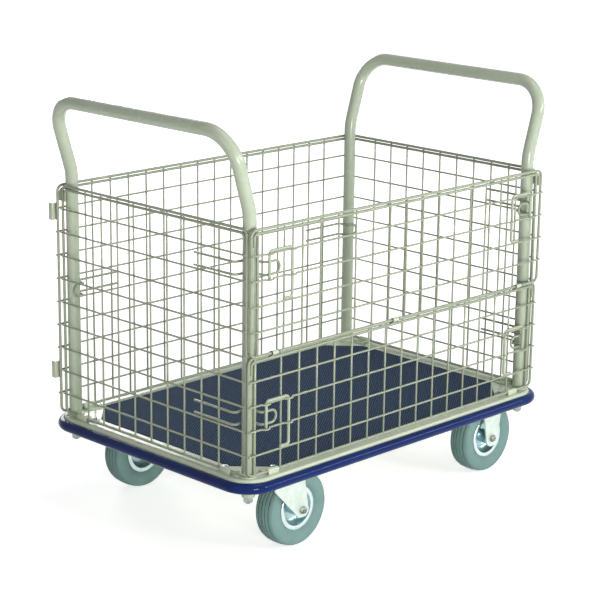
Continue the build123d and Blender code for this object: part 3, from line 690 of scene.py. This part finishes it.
def build_hooks():
    for half_name, side, row in (("lower", "gate", LOWER_ROWS[1]), ("upper", "flap", UPPER_ROWS[0])):
        eye = side_point(side, 0, EYE_OUT, 0).y
        paths = []
        for sign in (-1, 1):
            panel_x, post_x = sign * HOOK_PANEL_X, sign * HOOK_POST_X
            plan = [(panel_x, HOOK_START_Y), (panel_x, -HOOK_POST_Y), (post_x, -HOOK_POST_Y), (post_x, eye)]
            paths.append(hairpin(plan, (sign * HOOK_TIP_X, eye), row - HOOK_DROP))
        rod_piece(paths, HOOK_R, "frame", "hooks_" + half_name, hairpin_bends(HOOK_BEND, 3), WIRE_SHADED_PAINT)
    paths = []
    for sign in (-1, 1):
        start_x, post_x = sign * BACK_HOOK_START_X, sign * BACK_HOOK_POST_X
        plan = [(start_x, BACK_HOOK_PANEL_Y), (post_x, BACK_HOOK_PANEL_Y), (post_x, BACK_HOOK_POST_Y)]
        paths.append(hairpin(plan, (sign * BACK_HOOK_TIP_X, BACK_HOOK_POST_Y), MIDDLE + BACK_HOOK_RISE))
    rod_piece(paths, HOOK_R, "frame", "hooks_back", hairpin_bends(BACK_HOOK_BEND, 2), WIRE_SHADED_PAINT)


# Hinge clips: sheet rolled round both rods, cream, with near black bands at their ends painted as the shade in
# the open ends of the rolls.
def clip_skin(bm, x, rings):
    # Rings of (radius, shift along X), each drawn round the lower and the upper rod together.
    low, high = Vector((0, -GATE_Y, GATE_HIGH)), Vector((0, -FLAP_Y, FLAP_LOW))
    up = (high - low).normalized()
    side = Vector((1, 0, 0)).cross(up)
    rows = []
    for radius, shift in rings:
        row = []
        for k in range(CLIP_SIDES):
            angle = 2 * math.pi * (k + 0.5) / CLIP_SIDES
            centre = high if math.sin(angle) > 0 else low
            spot = centre + up * (radius * math.sin(angle)) + side * (radius * math.cos(angle))
            row.append(bm.verts.new(spot + Vector((x + shift, 0, 0))))
        rows.append(row)
    for a, b in zip(rows, rows[1:] + rows[:1]):
        bridge(bm, a, b)


def build_clips():
    middle = [(CLIP_BORE, -CLIP_HALF), (CLIP_OUT, -CLIP_HALF), (CLIP_OUT, CLIP_HALF), (CLIP_BORE, CLIP_HALF)]
    band = [(CLIP_BORE, CLIP_HALF), (CLIP_BORE, CLIP_END), (3.9, CLIP_END), (4.25, 10.6), (4.25, CLIP_HALF)]
    sleeve, ends = bmesh.new(), bmesh.new()
    for x in CLIP_XS:
        clip_skin(sleeve, x, middle)
        for sign in (-1, 1):
            clip_skin(ends, x, [(radius, sign * shift) for radius, shift in band])
    place(finish_mesh(sleeve, "rolled_clips", PAINT), "gate_lower", "cream_paint", "hinge_clips")
    place(finish_mesh(ends, "clip_ends", CLIP_END_SHADE), "gate_lower", "zinc")


# Wheels: each profile goes once round the section of a tyre, a rim's flanges or a rim's dish.
def tyre_profile():
    bead, seat = TYRE_HALF - 7.4, RIM_R - 5.85
    right = [(bead, seat), (bead, RIM_R + 0.5)]
    for k in range(0, 13):
        angle = math.radians(-62 + 118 * (k / 12))
        axial = FLANK_AXIAL + FLANK_WIDE * math.cos(angle) ** 0.9
        right.append((axial, FLANK_RADIAL + FLANK_HIGH * math.sin(angle)))

    def crown(axial):
        return WHEEL_R - TREAD_DROP * (axial / TREAD_HALF) ** 2

    # Grooves, listed as (half width, depth), with a point on the crown between each two.
    groove = ((1.9, 0.0), (1.2, 0.5), (0.8, 2.4))
    middles = (14.0, 4.8, -4.8, -14.0)
    tread = []
    for middle in middles:
        top = crown(middle)
        tread += [(middle + half, top - depth) for half, depth in groove]
        tread += [(middle - half, top - depth) for half, depth in reversed(groove)]
        if middle != middles[-1]:
            tread.append((middle - 4.7, crown(middle - 4.7)))
    shoulder = (18.2, WHEEL_R - 1.98)
    return right + [shoulder] + tread + mirrored([shoulder]) + mirrored(right)


def flange_profile():
    seat = RIM_R - 6.0
    right = [
        (FLANGE - 3.5, 36.0), (FLANGE - 0.6, 37.2), (FLANGE, 39.0), (FLANGE, RIM_R - 1.4),
        (FLANGE - 0.5, RIM_R - 0.4), (FLANGE - 1.0, RIM_R), (FLANGE - 1.6, RIM_R - 0.4),
        (FLANGE - 2.0, RIM_R - 1.4), (FLANGE - 2.0, seat + 1.0), (FLANGE - 2.6, seat),
    ]
    inside = [(FLANGE - 4.2, seat - 1.2), (FLANGE - 5.0, 36.6)]
    return right + mirrored(right + inside) + list(reversed(inside))


def dish_profile():
    hub = TYRE_HALF + 1.0
    right = [(hub, 10.02), (hub, 15.0), (hub - 0.6, 15.6), (2.2, 15.6), (2.2, 22.0), (3.0, 27.0)]
    right += [(6.5, 31.5), (12.0, 34.6), (FLANGE - 3.5, 36.0), (FLANGE - 5.0, 36.6), (0.0, 36.8)]
    return right + mirrored(right[:-1])


def stack_layers(bm, spot, axis, stack, sides):
    # A closed stack of hexagons or circles along an axis, listed as (offset, radius).
    axis = Vector(axis).normalized()
    u = axis.orthogonal().normalized()
    v = axis.cross(u)
    rows = [circle(bm, Vector(spot) + axis * offset, u, v, radius, sides, NUT_TURN) for offset, radius in stack]
    for a, b in zip(rows, rows[1:]):
        bridge(bm, a, b)
    cap_ends(bm, rows)


def build_wheel(end, side_name, x, y, outward):
    tail = end + "_" + side_name
    body = "wheel_" + tail
    centre = (x, y, AXLE_Z)
    tyre = finish_mesh(revolve(tyre_profile(), centre, TYRE_SEGMENTS), "rubber_" + tail, RUBBER)
    place(tyre, body, "grey_tyre", "tyre_" + tail)
    flange = finish_mesh(revolve(flange_profile(), centre, RIM_SEGMENTS), "flange_" + tail, ZINC)
    place(flange, body, "zinc", "rim_" + tail)
    dish = finish_mesh(revolve(dish_profile(), centre, RIM_SEGMENTS), "dish_" + tail, DISH_SHADED_ZINC)
    place(dish, body, "zinc", "rim_" + tail)
    grip, near, far = AXLE_GRIP, HUB_HALF + 0.15, FORK_GAP - 0.1
    shaft = [(-grip - 7.5, 4.6), (-grip - 6.7, AXLE_R), (grip, AXLE_R)]
    head = [(grip, NUT_R), (grip + 4.6, NUT_R), (grip + 5.5, NUT_R - 1.0)]
    nut = [(-grip - 5.5, 7.5), (-grip - 4.7, NUT_R), (-grip - 0.6, NUT_R), (-grip, 7.8)]
    bm = bmesh.new()
    for sides, stack in ((ROUND, shaft), (HEXAGON, head), (HEXAGON, nut)):
        stack_layers(bm, centre, (0, outward, 0), stack, sides)
    for low, high in ((near, far), (-far, -near)):
        stack_layers(bm, centre, (0, outward, 0), [(low, SLEEVE_R), (high, SLEEVE_R)], SLEEVE_SIDES)
    axle = finish_mesh(bm, "axle_bolt_" + tail, DARK_STEEL_PAINTED_GLINTS, bevel=0.35)
    carrier = "swivel_" + side_name if end == "swivel" else "frame"
    place(axle, carrier, "zinc", "axle_" + tail)


# The other fittings keep their CAD shape, with edges softened so that they catch the light.
def softened(node, name, material, body, slot, width):
    mesh = frame["nodes"][node].data.copy()
    mesh.name = name
    mesh.materials.clear()
    mesh.materials.append(material)
    obj = bpy.data.objects.new(name, mesh)
    bpy.context.scene.collection.objects.link(obj)
    bm = bmesh.new()
    bm.from_mesh(mesh)
    bmesh.ops.remove_doubles(bm, verts=bm.verts, dist=1e-6)
    bmesh.ops.dissolve_limit(bm, angle_limit=math.radians(0.5), verts=bm.verts, edges=bm.edges)
    bm.to_mesh(mesh)
    bm.free()
    bevel_edges(obj, width, degrees=40)
    shade_smooth(obj, degrees=35)
    place(obj, body, slot, node)


build_deck()
build_bumper()
build_mat()
for end_name, end_sign in (("swivel_end", -1), ("fixed_end", 1)):
    build_handle("handle_" + end_name, end_sign)
# Name, side, half length, low, high, columns either way, rows, rows with kinks, body.
PANELS = (
    ("panel_swivel_end", "swivel_end", END_HALF, PANEL_LOW, PANEL_HIGH, SHORT_COLS, ALL_ROWS, (), "frame"),
    ("panel_fixed_end", "fixed_end", END_HALF, PANEL_LOW, PANEL_HIGH, SHORT_COLS, ALL_ROWS, (), "frame"),
    ("panel_back", "back", BACK_HALF, PANEL_LOW, PANEL_HIGH, LONG_COLS, ALL_ROWS, (), "frame"),
    ("gate_lower", "gate", GATE_HALF, PANEL_LOW, GATE_HIGH, LONG_COLS, LOWER_ROWS, LOWER_ROWS[1:3], "gate_lower"),
    ("gate_upper", "flap", GATE_HALF, FLAP_LOW, PANEL_HIGH, LONG_COLS, UPPER_ROWS, UPPER_ROWS[0:2], "gate_upper"),
)
for panel in PANELS:
    mesh_panel(*panel)
build_latches()
build_hooks()
build_clips()
for caster, caster_sign in (("gate", -1), ("back", 1)):
    build_wheel("swivel", caster, TRAIL - SWIVEL_X, caster_sign * SWIVEL_Y, caster_sign)
    build_wheel("fixed", caster, FIXED_X, caster_sign * FIXED_Y, caster_sign)
    softened("swivel_fork_" + caster, "fork_swivel_" + caster, FORK_ZINC, "swivel_" + caster, "zinc", 0.8)
    softened("fixed_fork_" + caster, "fork_fixed_" + caster, FORK_ZINC, "frame", "zinc", 0.8)
    softened("swivel_plate_" + caster, "plate_swivel_" + caster, FORK_ZINC, "frame", "zinc", 0.6)
softened("saddles_gate", "clip_saddles_gate", PAINT, "frame", "cream_paint", 0.5)
softened("saddles_fixed", "clip_saddles_fixed", PAINT, "frame", "cream_paint", 0.5)
softened("saddle_bolts", "clip_bolts", BOLT_ZINC_PAINTED_GLINTS, "frame", "zinc", 0.4)
softened("back_plates", "corner_plates", PAINT, "frame", "cream_paint", 0.5)
softened("post_collars", "foot_collars", PAINT, "frame", "cream_paint", 0.6)
softened("post_plugs", "foot_plugs", PLUG_ZINC, "frame", "grey_plug", 0.8)

# The CAD pieces that stay as they are get a finish too.
FINISHES = {
    "cream_paint": PAINT, "zinc": ZINC, "grey_tyre": RUBBER,
    "blue_bumper": VINYL, "navy_mat": NAVY, "grey_plug": ZINC,
}
for part in frame["record"]["subparts"]:
    node = frame["nodes"][part["node"]]
    finish = FINISHES[part["material_slot"]]
    if node.material_slots:
        for held in node.material_slots:
            held.material = finish
    else:
        node.data.materials.append(finish)


# Stage: a pale floor that runs into a white surround, lit from the gate side, the top and the back.
def seen_rays(tree):
    # One for rays that see the ground directly, in a mirror or through glass, and nought for light rays.
    path = tree.nodes.new("ShaderNodeLightPath")
    value = path.outputs["Is Camera Ray"]
    for name in ("Is Glossy Ray", "Is Transmission Ray"):
        value = math_node(tree, "MAXIMUM", value, path.outputs[name])
    return value


def build_stage():
    bm = bmesh.new()
    reach = 12000.0
    corners = ((-reach, -reach, 0), (reach, -reach, 0), (reach, reach, 0), (-reach, reach, 0))
    bm.faces.new([bm.verts.new(p) for p in corners])
    mat, tree, shader = new_material("pale_floor", (0.90, 0.90, 0.90), 0.9)
    shader.inputs["Specular IOR Level"].default_value = 0.0
    away = tree.nodes.new("ShaderNodeVectorMath")
    away.operation = "LENGTH"
    tree.links.new(coords(tree), away.inputs[0])
    # The glow grows with the distance from the middle, in metres, so the shadow fades into white.
    level = spread(tree, away.outputs["Value"], low=0.8, high=2.2, out_low=0.66, out_high=1.0)
    glow = tree.nodes.new("ShaderNodeEmission")
    glow.inputs["Color"].default_value = WHITE
    tree.links.new(math_node(tree, "MULTIPLY", level, seen_rays(tree)), glow.inputs["Strength"])
    both = tree.nodes.new("ShaderNodeAddShader")
    tree.links.new(shader.outputs["BSDF"], both.inputs[0])
    tree.links.new(glow.outputs["Emission"], both.inputs[1])
    tree.links.new(both.outputs["Shader"], tree.nodes["Material Output"].inputs["Surface"])
    finish_mesh(bm, "stage_floor", mat, False)


def build_world():
    # Dim for light rays, and white where it is seen.
    world = bpy.data.worlds.new("studio")
    bpy.context.scene.world = world
    world.use_nodes = True
    tree = world.node_tree
    dim, bright = tree.nodes["Background"], tree.nodes.new("ShaderNodeBackground")
    for node, strength in ((dim, 0.12), (bright, 1.0)):
        node.inputs["Color"].default_value = WHITE
        node.inputs["Strength"].default_value = strength
    mix = tree.nodes.new("ShaderNodeMixShader")
    tree.links.new(seen_rays(tree), mix.inputs["Fac"])
    tree.links.new(dim.outputs["Background"], mix.inputs[1])
    tree.links.new(bright.outputs["Background"], mix.inputs[2])
    tree.links.new(mix.outputs["Shader"], tree.nodes["World Output"].inputs["Surface"])


def build_lamps():
    # Name, place, width and height in metres, and power in watts.
    lamps = (
        ("key", (1.0, -4.0, 1.7), 0.7, 0.7, 38.0),
        ("side", (2.4, -3.0, 1.6), 2.4, 0.35, 38.0),
        ("front", (-1.7, -3.8, 0.65), 1.0, 1.0, 92.0),
        ("fill", (-3.0, -0.7, 1.4), 1.4, 1.4, 8.5),
        ("top", (0.5, -0.6, 4.2), 2.0, 2.0, 33.0),
        ("back", (1.6, 3.9, 1.9), 2.4, 1.6, 55.0),
    )
    target = Vector((0, 0, 0.35))
    for name, spot, wide, high, power in lamps:
        lamp = bpy.data.lights.new(name, "AREA")
        lamp.shape = "ELLIPSE"
        lamp.size = wide
        lamp.size_y = high
        lamp.energy = power
        obj = bpy.data.objects.new(name, lamp)
        obj.location = spot
        obj.rotation_euler = (target - Vector(spot)).to_track_quat("-Z", "Y").to_euler()
        bpy.context.scene.collection.objects.link(obj)


def build_camera():
    # Fitted to the photograph: where it stands, which way it looks, and its focal length in pixels.
    azimuth, elevation, roll = math.radians(-45.389), math.radians(15.053), math.radians(0.713)
    focal, picture = 1983.84, 598
    camera = bpy.data.cameras.new("camera")
    camera.sensor_width = 36.0
    camera.lens = focal / picture * camera.sensor_width
    camera.clip_end = 100.0
    obj = bpy.data.objects.new("camera", camera)
    obj.location = (-2.9452, -2.8910, 1.5266)
    level = math.cos(elevation)
    look = Vector((-math.sin(azimuth) * level, math.cos(azimuth) * level, -math.sin(elevation)))
    obj.rotation_euler = (look.to_track_quat("-Z", "Y") @ Quaternion((0, 0, 1), roll)).to_euler()
    bpy.context.scene.collection.objects.link(obj)
    bpy.context.scene.camera = obj


build_stage()
build_world()
build_lamps()
build_camera()
bpy.context.scene.view_settings.view_transform = "Standard"
